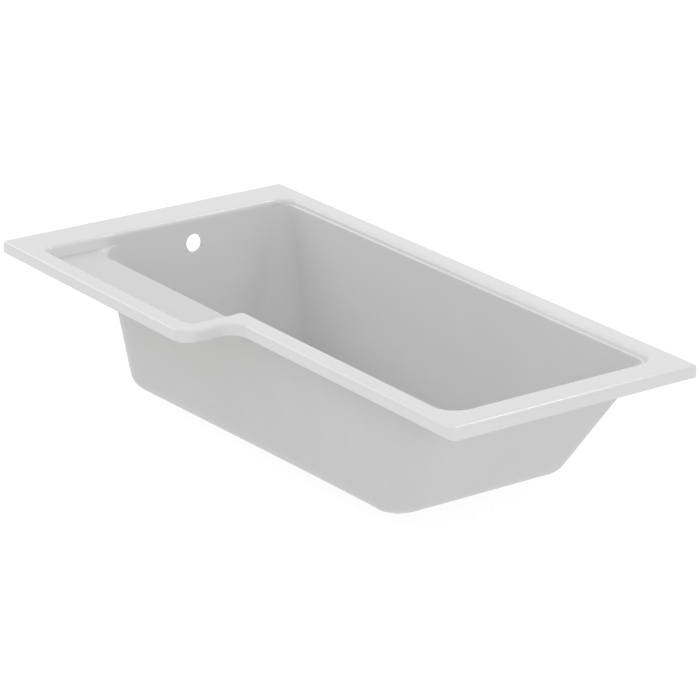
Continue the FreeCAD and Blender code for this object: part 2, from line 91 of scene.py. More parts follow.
# Widths of the rim, from its outside to the opening.
DRAIN_RIM, NARROW_RIM, SIDE_RIM, SHELF_RIM, STEP_RIM = 113, 85, 54, 53, 50
# The round from the rim into the opening, and how much further out the side above the ledge starts.
OPENING_EDGE, LEAN_OUT = 14, 3.3
WALL_CORNER, NARROW_CORNER, SHELF_END_CORNER, SHELF_STEP_CORNER, NOSE = 50, 55, 26, 25, 15
LEDGE_DROP, LEDGE_SETBACK, LEDGE_EDGE, LEDGE_HOLLOW, LEDGE_FALL = 15, 6, 3, 2.5, 0.8
SHELF_DROP, SHELF_EDGE = 31, 27

# %% Walls, floor and thicknesses
BASIN_DEPTH = 380
# The round at the walls' foot: at the drain end, what it gains along the bath and under the backrest,
# and on the wall side.
FLOOR_EDGE, FLOOR_EDGE_GROWTH, BACKREST_FOOT_GROWTH, WALL_SIDE_FOOT = 37, 14, 66, 15
# The wall at the shelf's end is flatter, and blends into the drain end's wall beside the basin.
SHELF_END_SLOPE, BLEND_START, BLEND_LENGTH = math.radians(24), 14, 50
DRAIN_SLOPE, BACKREST_SLOPE, SIDE_SLOPE, FALL = (math.radians(a) for a in (5.7, 35.6, 5.2, 1.1))
# Radii of the basin's corners, at rim level and at floor level.
DRAIN_FRONT_RADII, DRAIN_WALL_RADII = (62, 122), (38, 107)
BACKREST_RADII = (40, 82)
ACRYLIC, BACKING = 5, 3
WALL = ACRYLIC + BACKING
SEAT_RADIUS, SEAT_DEPTH = 37, 1.5

# %% Planes of the inside surface at rim level
X_OPENING_DRAIN = X_DRAIN + DRAIN_RIM
X_OPENING_END = X_NARROW - NARROW_RIM
X_BASIN_END = X_OPENING_END - LEDGE_SETBACK
X_SHELF_STEP = X_STEP - STEP_RIM
Y_SHELF = Y_FRONT + SHELF_RIM
Y_OPENING_FRONT, Y_OPENING_WALL = Y_NARROW_FRONT + SIDE_RIM, Y_WALL - SIDE_RIM
Y_BASIN_FRONT, Y_BASIN_WALL = Y_OPENING_FRONT + LEDGE_SETBACK, Y_OPENING_WALL - LEDGE_SETBACK
X_FOOT = X_OPENING_DRAIN + BASIN_DEPTH * math.tan(DRAIN_SLOPE)
run = (X_BASIN_END - X_FOOT) * math.cos(FALL) + BASIN_DEPTH * math.sin(FALL)
rise = BASIN_DEPTH * math.cos(FALL) - (X_BASIN_END - X_FOOT) * math.sin(FALL)
FLOOR_LENGTH = run - rise * math.tan(BACKREST_SLOPE + FALL)
print("rim top", round(RIM_TOP, 2), "floor length", round(FLOOR_LENGTH, 1))

# %% [markdown]
# ## Outlines
# Seen from above, every level of the bath is an outline of straight sides and round corners. A ring of
# points follows such an outline, always with the same number of points to a corner and to a side, so that
# two rings can be joined by a strip of quads. All corners here are right angles, which keeps the arc to
# one formula. Each point also carries the direction that looks out of the outline there.

# %% Sample an outline
CORNER_STEPS = 14


def sample(corners, counts, crowded=None):
    """Points and outward directions of an outline.

    A corner is (x, y, radius, steps). The side after corner i has counts[i] segments, which crowd
    towards both its ends where i is the crowded one.
    """
    places, outward = [], []
    total = len(corners)
    for i, (x, y, radius, steps) in enumerate(corners):
        corner = np.array([x, y], float)
        before = corner - np.array(corners[i - 1][:2], float)
        after = np.array(corners[(i + 1) % total][:2], float) - corner
        before /= np.linalg.norm(before)
        after /= np.linalg.norm(after)
        turn = math.copysign(1, before[0] * after[1] - before[1] * after[0])
        centre = corner - before * radius + after * radius
        for k in range(steps + 1):
            angle = math.pi / 2 * k / steps if steps else 0
            arm = -after * math.cos(angle) + before * math.sin(angle)
            places.append(centre + arm * radius if steps else corner)
            outward.append(arm * turn if steps else np.array([after[1], -after[0]]))
        start = places[-1]
        nx, ny, next_radius, next_steps = corners[(i + 1) % total]
        end = np.array([nx, ny], float) - after * (next_radius if next_steps else 0)
        for k in range(1, counts[i]):
            share = (1 - math.cos(math.pi * k / counts[i])) / 2 if i == crowded else k / counts[i]
            places.append(start + (end - start) * share)
            outward.append(np.array([after[1], -after[0]]))
    return np.array(places), np.array(outward)


def shift(offset, depth, slope):
    """How far out a sloping wall stands at a depth below the rim, once it has moved out by an offset."""
    return offset / math.cos(slope) - depth * math.tan(slope)


def basin_radius(radii, offset, depth):
    top, floor = radii
    return top + (floor - top) * depth / BASIN_DEPTH + offset


# %% The L-shaped outlines: rim and opening
# Segments of each side of the L, from where shelf and basin part. The drain end counts as two sides.
L_COUNTS = (12, 8, 4, 10, 8, 16, 12)
LEAST_RADIUS = 1


def parting(offset):
    """Where shelf and basin part on the drain end's wall, at the level of the shelf."""
    depth = SHELF_DROP + offset
    return Y_BASIN_FRONT - shift(offset, depth, SIDE_SLOPE) + basin_radius(DRAIN_FRONT_RADII, offset, depth)


def l_ring(drain, end, step, front, narrow, wall, radii, offset=0):
    """Plan points of a ring round the L, from the place at the drain end where shelf and basin part."""
    end_low, step_out, step_in, narrow_low, narrow_high, wall_low = radii
    s = CORNER_STEPS
    corners = [(drain, parting(offset), 0, 0), (drain, front, end_low, s), (step, front, step_out, s),
               (step, narrow, step_in, s), (end, narrow, narrow_low, s), (end, wall, narrow_high, s),
               (drain, wall, wall_low, s)]
    return sample(corners, L_COUNTS)[0]


def rim_ring(inset, depth):
    """A ring of the rim's outside, moved in by an inset."""
    corner = max(OUTER_CORNER - inset, LEAST_RADIUS)
    radii = (corner, STEP_OUTER - inset, STEP_INNER + inset, corner, corner, corner)
    places = l_ring(X_DRAIN + inset, X_NARROW - inset, X_STEP - inset, Y_FRONT + inset,
                    Y_NARROW_FRONT + inset, Y_WALL - inset, radii)
    return at_depth(places, depth)


def at_depth(places, depth):
    """Gives plan points their height below the rim's top."""
    return np.column_stack([places, np.full(len(places), RIM_TOP) - depth])


def lean_shelf_end(places, offset, depth):
    """Gives the drain end's wall a flatter slope above the shelf, blended in beside the basin."""
    beside = np.clip((parting(offset) - BLEND_START - places[:, 1]) / BLEND_LENGTH, 0, 1)
    near = np.clip((X_SHELF_STEP - places[:, 0]) / (X_SHELF_STEP - X_OPENING_DRAIN), 0, 1)
    further_in = shift(offset, depth, DRAIN_SLOPE) - shift(offset, depth, SHELF_END_SLOPE)
    places[:, 0] += further_in * beside ** 2 * (3 - 2 * beside) * near
    return places


def nose_radius(offset):
    """Radius of the nose, the corner where the shelf ends at the narrow half."""
    return max(NOSE - offset, LEAST_RADIUS)


def shelf_radii(offset):
    return SHELF_END_CORNER + offset, SHELF_STEP_CORNER + offset, nose_radius(offset)


def opening_places(offset, depth):
    """Plan points of the opening, above the ledge."""
    side = shift(offset, depth, SIDE_SLOPE)
    radii = shelf_radii(offset) + (NARROW_CORNER + offset, NARROW_CORNER + offset, WALL_CORNER + offset)
    places = l_ring(X_OPENING_DRAIN - shift(offset, depth, DRAIN_SLOPE), X_OPENING_END + side,
                    X_SHELF_STEP + side, Y_SHELF - side, Y_OPENING_FRONT - side,
                    Y_OPENING_WALL + side, radii, offset)
    return lean_shelf_end(places, offset, depth)


def below_ledge_places(offset, depth):
    """Plan points of the basin's walls and the shelf's, between ledge and shelf."""
    side = shift(offset, depth, SIDE_SLOPE)
    drain, back = basin_radius(DRAIN_WALL_RADII, offset, depth), basin_radius(BACKREST_RADII, offset, depth)
    radii = shelf_radii(offset) + (back, back, drain)
    places = l_ring(X_OPENING_DRAIN - shift(offset, depth, DRAIN_SLOPE),
                    X_BASIN_END + shift(offset, depth, BACKREST_SLOPE), X_SHELF_STEP + side,
                    Y_SHELF - side, Y_BASIN_FRONT - side, Y_BASIN_WALL + side, radii, offset)
    return lean_shelf_end(places, offset, depth)


# %% The basin's outlines: below the shelf and on the sloping floor
SHELF_SIDE_COUNT = 36
BASIN_RADII = (DRAIN_FRONT_RADII, DRAIN_WALL_RADII, BACKREST_RADII)


def basin_ring(drain, end, front, wall, radii, nose_end):
    """A ring round the basin that starts where the L's ring does and has a point at the nose's end."""
    drain_front, drain_wall, back = radii
    s = CORNER_STEPS
    corners = [(drain, front, drain_front, s), (nose_end, front, 0, 0), (end, front, back, s),
               (end, wall, back, s), (drain, wall, drain_wall, s)]
    return sample(corners, (SHELF_SIDE_COUNT,) + L_COUNTS[3:], crowded=0)


def foot_shift(offset, lean):
    """How far a wall's foot moves out along the floor when wall and floor both move out."""
    return offset * (1 - math.sin(lean)) / math.cos(lean)


def basin_top(offset):
    """Points and outward directions of the basin at the level of the shelf."""
    depth = SHELF_DROP + offset
    side = shift(offset, depth, SIDE_SLOPE)
    radii = [basin_radius(ends, offset, depth) for ends in BASIN_RADII]
    nose_end = X_SHELF_STEP + side + nose_radius(offset)
    places, outward = basin_ring(X_OPENING_DRAIN - shift(offset, depth, DRAIN_SLOPE),
                                 X_BASIN_END + shift(offset, depth, BACKREST_SLOPE),
                                 Y_BASIN_FRONT - side, Y_BASIN_WALL + side, radii, nose_end)
    return at_depth(places, depth), outward


def floor_edge(offset):
    """Points of the floor's edge, and directions that look in along the floor."""
    middle_depth = BASIN_DEPTH - FLOOR_LENGTH / 2 * math.sin(FALL)
    side = foot_shift(offset, SIDE_SLOPE) - middle_depth * math.tan(SIDE_SLOPE)
    radii = [ends[1] + offset for ends in BASIN_RADII]
    nose_end = (X_SHELF_STEP + NOSE - X_FOOT) / math.cos(FALL)
    places, outward = basin_ring(-foot_shift(offset, DRAIN_SLOPE - FALL),
                                 FLOOR_LENGTH + foot_shift(offset, BACKREST_SLOPE + FALL),
                                 Y_BASIN_FRONT - side, Y_BASIN_WALL + side, radii, nose_end)
    return on_floor(places, offset), -np.column_stack(
        [outward[:, 0] * math.cos(FALL), outward[:, 1], outward[:, 0] * math.sin(FALL)])


def on_floor(places, offset):
    """Lays plan points on the sloping floor, moved out by an offset."""
    x = X_FOOT + offset * math.sin(FALL) + places[:, 0] * math.cos(FALL)
    z = RIM_TOP - BASIN_DEPTH - offset * math.cos(FALL) + places[:, 0] * math.sin(FALL)
    return np.column_stack([x, places[:, 1], z])


# %% [markdown]
# ## A skin of rings
# A thermoformed sheet has no hard corners, so the mesh is a stack of rings with extra ones wherever the
# sheet bends: round the lip, over the rim into the opening, along the ledge, over the shelf's edge and
# into the floor. A support ring beside each bend keeps the flat parts flat in smooth shading. The same
# stack, moved out by the sheet's thickness, gives the underside and the laminate.

# %% Collect rings and faces
BEND_STEPS, TRIM_STEPS = 8, 3
SUPPORT = 1.2


class Skin:
    """Points and faces of one surface, gathered ring by ring."""

    def __init__(self):
        self.points, self.faces = [], []

    def add(self, ring):
        start = len(self.points)
        self.points.extend(map(tuple, ring))
        return list(range(start, start + len(ring)))

    def bridge(self, upper, lower):
        """Joins two rings of as many points by quads."""
        for i in range(len(upper)):
            j = (i + 1) % len(upper)
            self.faces.append((upper[i], upper[j], lower[j], lower[i]))

    def stack(self, rings):
        """Joins a list of rings, each to the next, and returns the numbers of each ring's points."""
        numbers = [self.add(ring) for ring in rings]
        for upper, lower in zip(numbers, numbers[1:]):
            self.bridge(upper, lower)
        return numbers


def arc_steps(steps=BEND_STEPS):
    return [k / steps for k in range(steps + 1)]


# %% Rings of the lip and the rim
def lip_rings():
    """From the rim's inside down the inside of the lip, round its trimmed edge and up over the rim."""
    inner = LIP_EDGE - ACRYLIC
    rings = [rim_ring(LIP_EDGE + SUPPORT, ACRYLIC)]
    for t in arc_steps():
        angle = math.pi / 2 * (1 - t)
        rings.append(rim_ring(LIP_EDGE - inner * math.cos(angle), LIP_EDGE - inner * math.sin(angle)))
    rings.append(rim_ring(ACRYLIC, LIP_EDGE + SUPPORT))
    for turn, inset in ((0, ACRYLIC - TRIMMED_EDGE), (1, TRIMMED_EDGE)):
        for t in arc_steps(TRIM_STEPS):
            angle = math.pi / 2 * (t if turn == 0 else 1 - t)
            across = inset + (TRIMMED_EDGE if turn == 0 else -TRIMMED_EDGE) * math.cos(angle)
            rings.append(rim_ring(across, LIP_DEPTH - TRIMMED_EDGE * (1 - math.sin(angle))))
    rings.append(rim_ring(0, LIP_EDGE + SUPPORT))
    for t in arc_steps():
        angle = math.pi / 2 * t
        rings.append(rim_ring(LIP_EDGE * (1 - math.cos(angle)), LIP_EDGE * (1 - math.sin(angle))))
    rings.append(rim_ring(LIP_EDGE + SUPPORT, 0))
    return rings


# %% Round a corner between two runs
# Limits that keep a division safe, in millimetres and radians.
TINY_LENGTH = 1e-9
LEAST_HALF, MOST_HALF = 1e-6, 1.57079
LEAST_TURN, NEARLY_STRAIGHT = 1e-4, 0.02


def shelf_count():
    """Points of an L ring that lie round the shelf, with both ends."""
    return 1 + 3 * CORNER_STEPS + sum(L_COUNTS[:3])


def unit(vectors):
    return vectors / np.maximum(np.linalg.norm(vectors, axis=1), TINY_LENGTH)[:, None]


def rounded(before, corner, after, radius, steps, share_back=0.5, share_ahead=0.5):
    """Rings of an arc that rounds a corner. It takes no more than its share of the run on each side."""
    back, ahead = before - corner, after - corner
    room = np.minimum(share_back * np.linalg.norm(back, axis=1),
                      share_ahead * np.linalg.norm(ahead, axis=1))
    back, ahead = unit(back), unit(ahead)
    half = np.arccos(np.clip(np.einsum("ij,ij->i", back, ahead), -1, 1)) / 2
    reach = np.minimum(radius / np.tan(np.maximum(half, LEAST_HALF)), room)
    turn = np.maximum(math.pi - 2 * half, LEAST_TURN)[:, None]
    centre = corner + unit(back + ahead) * (reach / np.cos(np.minimum(half, MOST_HALF)))[:, None]
    reach = reach[:, None]
    first, last = corner + back * reach - centre, corner + ahead * reach - centre
    rings = []
    for t in arc_steps(steps):
        arc = (first * np.sin(turn * (1 - t)) + last * np.sin(turn * t)) / np.sin(turn)
        straight = corner + back * reach * (1 - t) + ahead * reach * t
        rings.append(np.where(turn < NEARLY_STRAIGHT, straight, centre + arc))
    return rings


# %% Rings of the opening, the ledge and the wall down to the shelf
OPENING_STEPS, HOLLOW_STEPS, LEDGE_STEPS = 10, 4, 6
# The side above the ledge takes this share of the ledge's setback.
LEDGE_START_SHARE = 0.45
# The run beside a round, in radii. At the nose it is a share of the nose's radius.
OPENING_RUN, LEDGE_RUN, NOSE_SHARE = 3, 3, 0.7
# Shares of a run that the support ring, the opening's round and the ledge's hollow may take.
SUPPORT_SHARE, DROP_SHARE, HOLLOW_SHARE = 0.1, 0.9, 0.1


def opening_rings(offset, sharp=False):
    """From the rim into the opening, over the ledge and down to the level of the shelf.

    A sharp one leaves out the round below the rim, which the laminate doesn't follow.
    """
    outer, inner = opening_places(offset, 0), below_ledge_places(offset, 0)
    outer_run = opening_places(offset, 1) - outer
    inner_run = below_ledge_places(offset, 1) - inner
    outward = opening_places(offset + 1, 0) - outer
    ledge = LEDGE_DROP + offset
    gap = (inner + inner_run * ledge) - (outer + outer_run * ledge)
    width = np.maximum(np.linalg.norm(gap, axis=1), TINY_LENGTH)
    # Above a ledge the side leans more. Where the ledge dies out, it is as steep as the wall.
    leaning = np.minimum(width / LEDGE_SETBACK, 1)[:, None]
    share = np.minimum(LEDGE_START_SHARE, LEDGE_START_SHARE * LEDGE_SETBACK / width)[:, None]
    foot = ledge - LEDGE_FALL * leaning[:, 0]
    rim = outer + outward * LEAN_OUT * leaning
    hollow = outer + outer_run * foot[:, None] + gap * share
    edge = inner + inner_run * ledge
    down = ledge + LEDGE_RUN * LEDGE_EDGE
    lower = below_ledge_places(offset, down)
    room = np.full((len(rim), 1), OPENING_RUN * OPENING_EDGE, float)
    nose = slice(shelf_count() - CORNER_STEPS - 1, shelf_count())
    room[nose] = NOSE_SHARE * nose_radius(offset) - LEAN_OUT * leaning[nose]
    levels = [at_depth(rim + outward * room, offset), at_depth(rim, offset),
              np.column_stack([hollow, RIM_TOP - foot]), at_depth(edge, ledge), at_depth(lower, down)]
    if sharp:
        rings = [at_depth(outer + outer_run * ACRYLIC + outward * LEAN_OUT * leaning, ACRYLIC)]
    else:
        arc = rounded(*levels[:3], OPENING_EDGE - offset, OPENING_STEPS, 1, DROP_SHARE)
        support = unit(levels[0] - levels[1]) * np.minimum(SUPPORT, SUPPORT_SHARE * room)
        rings = [arc[0] + support] + arc
    rings += rounded(*levels[1:4], LEDGE_HOLLOW + offset, HOLLOW_STEPS, HOLLOW_SHARE)
    rings += rounded(*levels[2:], max(LEDGE_EDGE - offset, LEAST_RADIUS), LEDGE_STEPS)
    rings.append(levels[4])
    rings.append(at_depth(below_ledge_places(offset, SHELF_DROP + offset), SHELF_DROP + offset))
    return rings


# %% The shelf, its round edge and the basin
LEAST_SHELF_EDGE, NO_RADIUS, CUSP_GAP = 2, 1e-6, 0.5
GAP_SHARE, EDGE_SUPPORT_SHARE = 0.8, 0.15
SHELF_EDGE_STEPS, FOOT_STEPS, FOOT_RUN = 10, 12, 4
# The rings of the shelf's edge go on down the wall, to this many radii below the shelf.
END_DROP = 1.15


def front_count():
    """Points of a basin ring that lie along the shelf, with both ends."""
    return CORNER_STEPS + 1 + SHELF_SIDE_COUNT


def edge_radii(offset, top, foot_ring):
    """Radius of the shelf's round edge at each point of the basin's ring: none away from the shelf."""
    full = max(SHELF_EDGE - offset, LEAST_SHELF_EDGE)
    radii = np.zeros(len(top))
    shelf_foot = foot_ring[:shelf_count(), :2]
    segments = list(zip(shelf_foot[:-1], shelf_foot[1:]))
    for i in range(front_count()):
        place = top[i, :2]
        gaps = []
        for a, b in segments:
            along = np.clip(np.dot(place - a, b - a) / max(np.dot(b - a, b - a), TINY_LENGTH ** 2), 0, 1)
            gaps.append(np.linalg.norm(place - a - (b - a) * along))
        radii[i] = min(full, GAP_SHARE * max(min(gaps) - CUSP_GAP, 0))
    return radii


def basin_rings(offset, foot_ring):
    """From the shelf's edge down the basin's walls and round into the floor."""
    top, outward = basin_top(offset)
    floor, inward = floor_edge(offset)
    fall = top - floor
    up = fall / np.linalg.norm(fall, axis=1)[:, None]
    radii = edge_radii(offset, top, foot_ring)
    lean = np.arctan2(np.einsum("ij,ij->i", fall[:, :2], outward), fall[:, 2])
    centre = radii / np.cos(lean) - radii * np.tan(lean)
    out3 = np.column_stack([outward, np.zeros(len(outward))])
    spare = np.minimum(SUPPORT, EDGE_SUPPORT_SHARE * radii)
    rings = [top + out3 * (centre + spare)[:, None]]
    span = math.pi / 2 - lean
    end_drop = max(SHELF_EDGE - offset, LEAST_SHELF_EDGE) * END_DROP
    path = radii * span
    straight = (end_drop - radii * (1 - np.sin(lean))) / np.cos(lean)
    for t in arc_steps(SHELF_EDGE_STEPS):
        way = (path + straight) * t
        angle = np.where(radii > NO_RADIUS, np.minimum(way / np.maximum(radii, TINY_LENGTH), span), span)
        beyond = np.maximum(way - path, 0)
        across = centre - radii * np.sin(angle)
        drop = radii * (1 - np.cos(angle))
        on_arc = top + out3 * across[:, None]
        on_arc[:, 2] -= drop
        wall_drop = radii * (1 - np.sin(lean)) + beyond * np.cos(lean)
        on_wall = top - fall * (wall_drop / fall[:, 2])[:, None]
        rings.append(np.where((way < path)[:, None], on_arc, on_wall))
    rings += floor_round_rings(offset, floor, inward, up)
    return rings


def foot_radii(offset, floor, inward):
    """The round at the walls' foot: it grows towards the backrest, and is small on the wall side."""
    along = np.clip((floor[:, 0] - X_FOOT) / (FLOOR_LENGTH * math.cos(FALL)), 0, 1)
    to_backrest, to_wall = (np.clip(-inward[:, axis], 0, 1) ** 2 for axis in (0, 1))
    radii = FLOOR_EDGE + FLOOR_EDGE_GROWTH * along + BACKREST_FOOT_GROWTH * to_backrest
    return radii + (WALL_SIDE_FOOT - radii) * to_wall + offset


def floor_round_rings(offset, floor, inward, up):
    """The round between wall and floor, with a support ring on each side."""
    far = FOOT_RUN * FLOOR_EDGE
    radii = foot_radii(offset, floor, inward)
    arc = rounded(floor + up * far, floor, floor + inward * far, radii, FOOT_STEPS)
    return [arc[0] + up * SUPPORT] + arc + [arc[-1] + inward * SUPPORT]


def tub(skin, offset, upper_rings):
    """Adds the shelf and the basin, moved out by an offset, below the rings that lead to them."""
    numbers = skin.stack(upper_rings)
    foot = numbers[-1]
    rings = basin_rings(offset, upper_rings[-1])
    lower = skin.stack(rings)
    edge = lower[0][:front_count()]
    rim_of_shelf = foot[:shelf_count()]
    skin.faces.append(tuple(rim_of_shelf + edge[::-1][1:-1]))
    skin.faces.append(tuple(lower[-1]))
    return numbers


# %% Make a mesh of a skin
WELD_DISTANCE, SLIVER_EDGE = 2e-6, 1e-6
SHARP_DEGREES = 32
LITRES_PER_CUBIC_METRE = 1000


def finish_mesh(name, skin):
    """Welds a skin into a closed, smooth mesh in metres, with its faces outwards."""
    mesh = bpy.data.meshes.new(name)
    mesh.from_pydata([tuple(c * MM for c in p) for p in skin.points], [], skin.faces)
    bm = bmesh.new()
    bm.from_mesh(mesh)
    bmesh.ops.remove_doubles(bm, verts=bm.verts, dist=WELD_DISTANCE)
    bmesh.ops.dissolve_degenerate(bm, edges=bm.edges, dist=SLIVER_EDGE)
    bmesh.ops.recalc_face_normals(bm, faces=bm.faces)
    if bm.calc_volume(signed=True) < 0:
        bmesh.ops.reverse_faces(bm, faces=bm.faces)
    open_edges = sum(1 for e in bm.edges if len(e.link_faces) != 2)
    print(name, "faces", len(bm.faces), "open edges", open_edges,
          "litres", round(bm.calc_volume() * LITRES_PER_CUBIC_METRE, 3))
    bm.to_mesh(mesh)
    bm.free()
    piece = bpy.data.objects.new(name, mesh)
    bpy.context.scene.collection.objects.link(piece)
    smooth(piece)
    return piece


def smooth(piece, sharp_degrees=SHARP_DEGREES):
    """Shades a piece smooth, but for edges that turn more than an angle."""
    piece.data.shade_smooth()
    piece.data.set_sharp_from_angle(angle=math.radians(sharp_degrees))


# %% [markdown]
# ## Acrylic sheet
# On the real bath this is one sheet of cast acrylic, heated and drawn over a mould, then trimmed round
# the lip and drilled. Here one skin runs from the underside of the rim round the lip, over the rim and
# down into the tub, and a second one closes it from below.

# %% The sheet
sheet_skin = Skin()
lip = sheet_skin.stack(lip_rings())
inside = tub(sheet_skin, 0, opening_rings(0))
underside = tub(sheet_skin, ACRYLIC, opening_rings(ACRYLIC))
sheet_skin.bridge(lip[-1], inside[0])
sheet_skin.bridge(underside[0], lip[0])
sheet = finish_mesh("acrylic_sheet", sheet_skin)

# %% [markdown]
# ## Glass fibre laminate
# Resin and chopped glass are sprayed on the outside of the formed sheet and rolled flat. The laminate
# follows the sheet, so its mesh is the same stack of rings at two offsets.

# %% The laminate
laminate_skin = Skin()
outer_face = tub(laminate_skin, WALL, opening_rings(WALL, sharp=True))
inner_face = tub(laminate_skin, ACRYLIC, opening_rings(ACRYLIC, sharp=True))
laminate_skin.bridge(outer_face[0], inner_face[0])
laminate = finish_mesh("laminate_backing", laminate_skin)

# %% [markdown]
# ## Holes
# The overflow hole is drilled square to the drain end and the waste hole down through the floor. A Boolean
# modifier with the exact solver cuts them, because both go through flat parts of the sheet. The places
# and sizes come from the mounts in the record.

# %% Drill the holes
HOLE_SEGMENTS, DRILL_REACH = 96, 20


def cylinder(name, radius, low, high, axis):
    """A closed cylinder between two points along an axis, in metres."""
    mesh = bpy.data.meshes.new(name)
    bm = bmesh.new()
    bmesh.ops.create_cone(bm, cap_ends=True, segments=HOLE_SEGMENTS, radius1=radius, radius2=radius,
                          depth=(high - low).length)
    turn = Vector((0, 0, 1)).rotation_difference(Vector(axis)).to_matrix().to_4x4()
    bm.transform(Matrix.Translation((low + high) / 2) @ turn)
    bm.to_mesh(mesh)
    bm.free()
    tool = bpy.data.objects.new(name, mesh)
    bpy.context.scene.collection.objects.link(tool)
    return tool


def cut(piece, tool):
    """Cuts a tool out of a piece and leaves a plain mesh."""
    modifier = piece.modifiers.new("cut", "BOOLEAN")
    modifier.operation = "DIFFERENCE"
    modifier.solver = "EXACT"
    modifier.object = tool
    bpy.context.view_layer.update()
    evaluated = piece.evaluated_get(bpy.context.evaluated_depsgraph_get())
    mesh = bpy.data.meshes.new_from_object(evaluated)
    piece.modifiers.clear()
    piece.data = mesh


def drill(name, pieces):
    """Cuts a round mount's hole through pieces."""
    place, axis = Vector(mounts[name]["pos_m"]), Vector(mounts[name]["axis"]).normalized()
    radius = mounts[name]["dims"]["r_mm"] * MM
    reach = axis * DRILL_REACH * MM
    tool = cylinder(name, radius, place - reach, place + reach, axis)
    for piece in pieces:
        cut(piece, tool)
    bpy.data.objects.remove(tool)
    print(name, "radius", radius)


waste = Vector(mounts["waste_hole"]["pos_m"])
seat_z = (RIM_TOP - BASIN_DEPTH + (waste.x / MM - X_FOOT) * math.tan(FALL) - SEAT_DEPTH) * MM
seat = cylinder("seat", SEAT_RADIUS * MM, Vector((waste.x, waste.y, seat_z)),
                Vector((waste.x, waste.y, seat_z + DRILL_REACH * MM)), (0, 0, 1))
cut(sheet, seat)
bpy.data.objects.remove(seat)
for hole in ("waste_hole", "overflow_hole"):
    drill(hole, (sheet, laminate))
for piece in (sheet, laminate):
    smooth(piece)

# %% Put the two skins on the frame
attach(sheet, "root")
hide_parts("acrylic_shell")
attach(laminate, "root")
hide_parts("glass_fibre_backing")

# %% [markdown]
# ## Materials
# Every colour below is an sRGB hex value, which one function turns to the linear values that the shader
# wants. One small function adds a node with its settings and links.

# %% Colour and node helpers


def linear(hex_colour):
    """An sRGB hex colour as a linear RGBA tuple."""
    values = [int(hex_colour[i:i + 2], 16) / 255 for i in (1, 3, 5)]
    return tuple(v / 12.92 if v <= 0.04045 else ((v + 0.055) / 1.055) ** 2.4 for v in values) + (1.0,)


def add(tree, kind, settings=None, inputs=None):
    """Adds a node, sets its properties, and sets or links its inputs."""
    node = tree.nodes.new(kind)
    for key, value in (settings or {}).items():
        setattr(node, key, value)
    for key, value in (inputs or {}).items():
        if isinstance(value, bpy.types.NodeSocket):
            tree.links.new(value, node.inputs[key])
        else:
            node.inputs[key].default_value = value
    return node


def new_material(name):
    """A material with an empty tree, and the tree."""
    material = bpy.data.materials.new(name)
    material.use_nodes = True
    material.node_tree.nodes.clear()
    return material, material.node_tree


def close(tree, shader):
    """Links a shader to the material's output, which it adds."""
    add(tree, "ShaderNodeOutputMaterial", inputs={"Surface": shader.outputs["BSDF"]})


def patches(tree, size_mm, detail=2, stretch=(1, 1, 1)):
    """Noise whose patches are about size_mm across, in object coordinates."""
    place = add(tree, "ShaderNodeTexCoord")
    mapping = add(tree, "ShaderNodeMapping", inputs={"Vector": place.outputs["Object"],
                                                     "Scale": tuple(s / (size_mm * MM) for s in stretch)})
    return add(tree, "ShaderNodeTexNoise",
               inputs={"Vector": mapping.outputs["Vector"], "Scale": 1.0, "Detail": detail})


def blend_colours(tree, factor, first, second, low=0.3, high=0.7):
    """Two colours mixed by a factor that is stretched between two levels."""
    ramp = add(tree, "ShaderNodeMapRange", inputs={"Value": factor, "From Min": low, "From Max": high})
    return add(tree, "ShaderNodeMix", {"data_type": "RGBA"},
               {0: ramp.outputs["Result"], 6: linear(first), 7: linear(second)}).outputs[2]


# %% Gloss white acrylic, thermoformed
# The shelf's matt finish and its painted shade fade in over these distances from the step's wall, the basin
# and its own level.
STEP_FADE, BASIN_FADE, LEVEL_FADE = (5, -2), (6, -6), (4, 1)


def shelf_matt_and_painted_shade(tree):
    """One on the shelf, where the sheet is duller and its colour is painted a little darker as shade, and
    none elsewhere.
    """
    place = add(tree, "ShaderNodeTexCoord").outputs["Object"]
    axes = add(tree, "ShaderNodeSeparateXYZ", inputs={0: place}).outputs
    level = (RIM_TOP - SHELF_DROP) * MM
    edges = ((0, X_SHELF_STEP, STEP_FADE), (1, Y_BASIN_FRONT, BASIN_FADE))
    ramps = [add(tree, "ShaderNodeMapRange",
                 inputs={"Value": axes[i], "From Min": (edge + fade[0]) * MM,
                         "From Max": (edge + fade[1]) * MM}).outputs[0] for i, edge, fade in edges]
    off_level = add(tree, "ShaderNodeMath", {"operation": "SUBTRACT"}, {0: axes[2], 1: level}).outputs[0]
    off_level = add(tree, "ShaderNodeMath", {"operation": "ABSOLUTE"}, {0: off_level}).outputs[0]
    ramps.append(add(tree, "ShaderNodeMapRange",
                     inputs={"Value": off_level, "From Min": LEVEL_FADE[0] * MM,
                             "From Max": LEVEL_FADE[1] * MM}).outputs[0])
    both = add(tree, "ShaderNodeMath", {"operation": "MULTIPLY"}, {0: ramps[0], 1: ramps[1]}).outputs[0]
    return add(tree, "ShaderNodeMath", {"operation": "MULTIPLY"}, {0: both, 1: ramps[2]}).outputs[0]


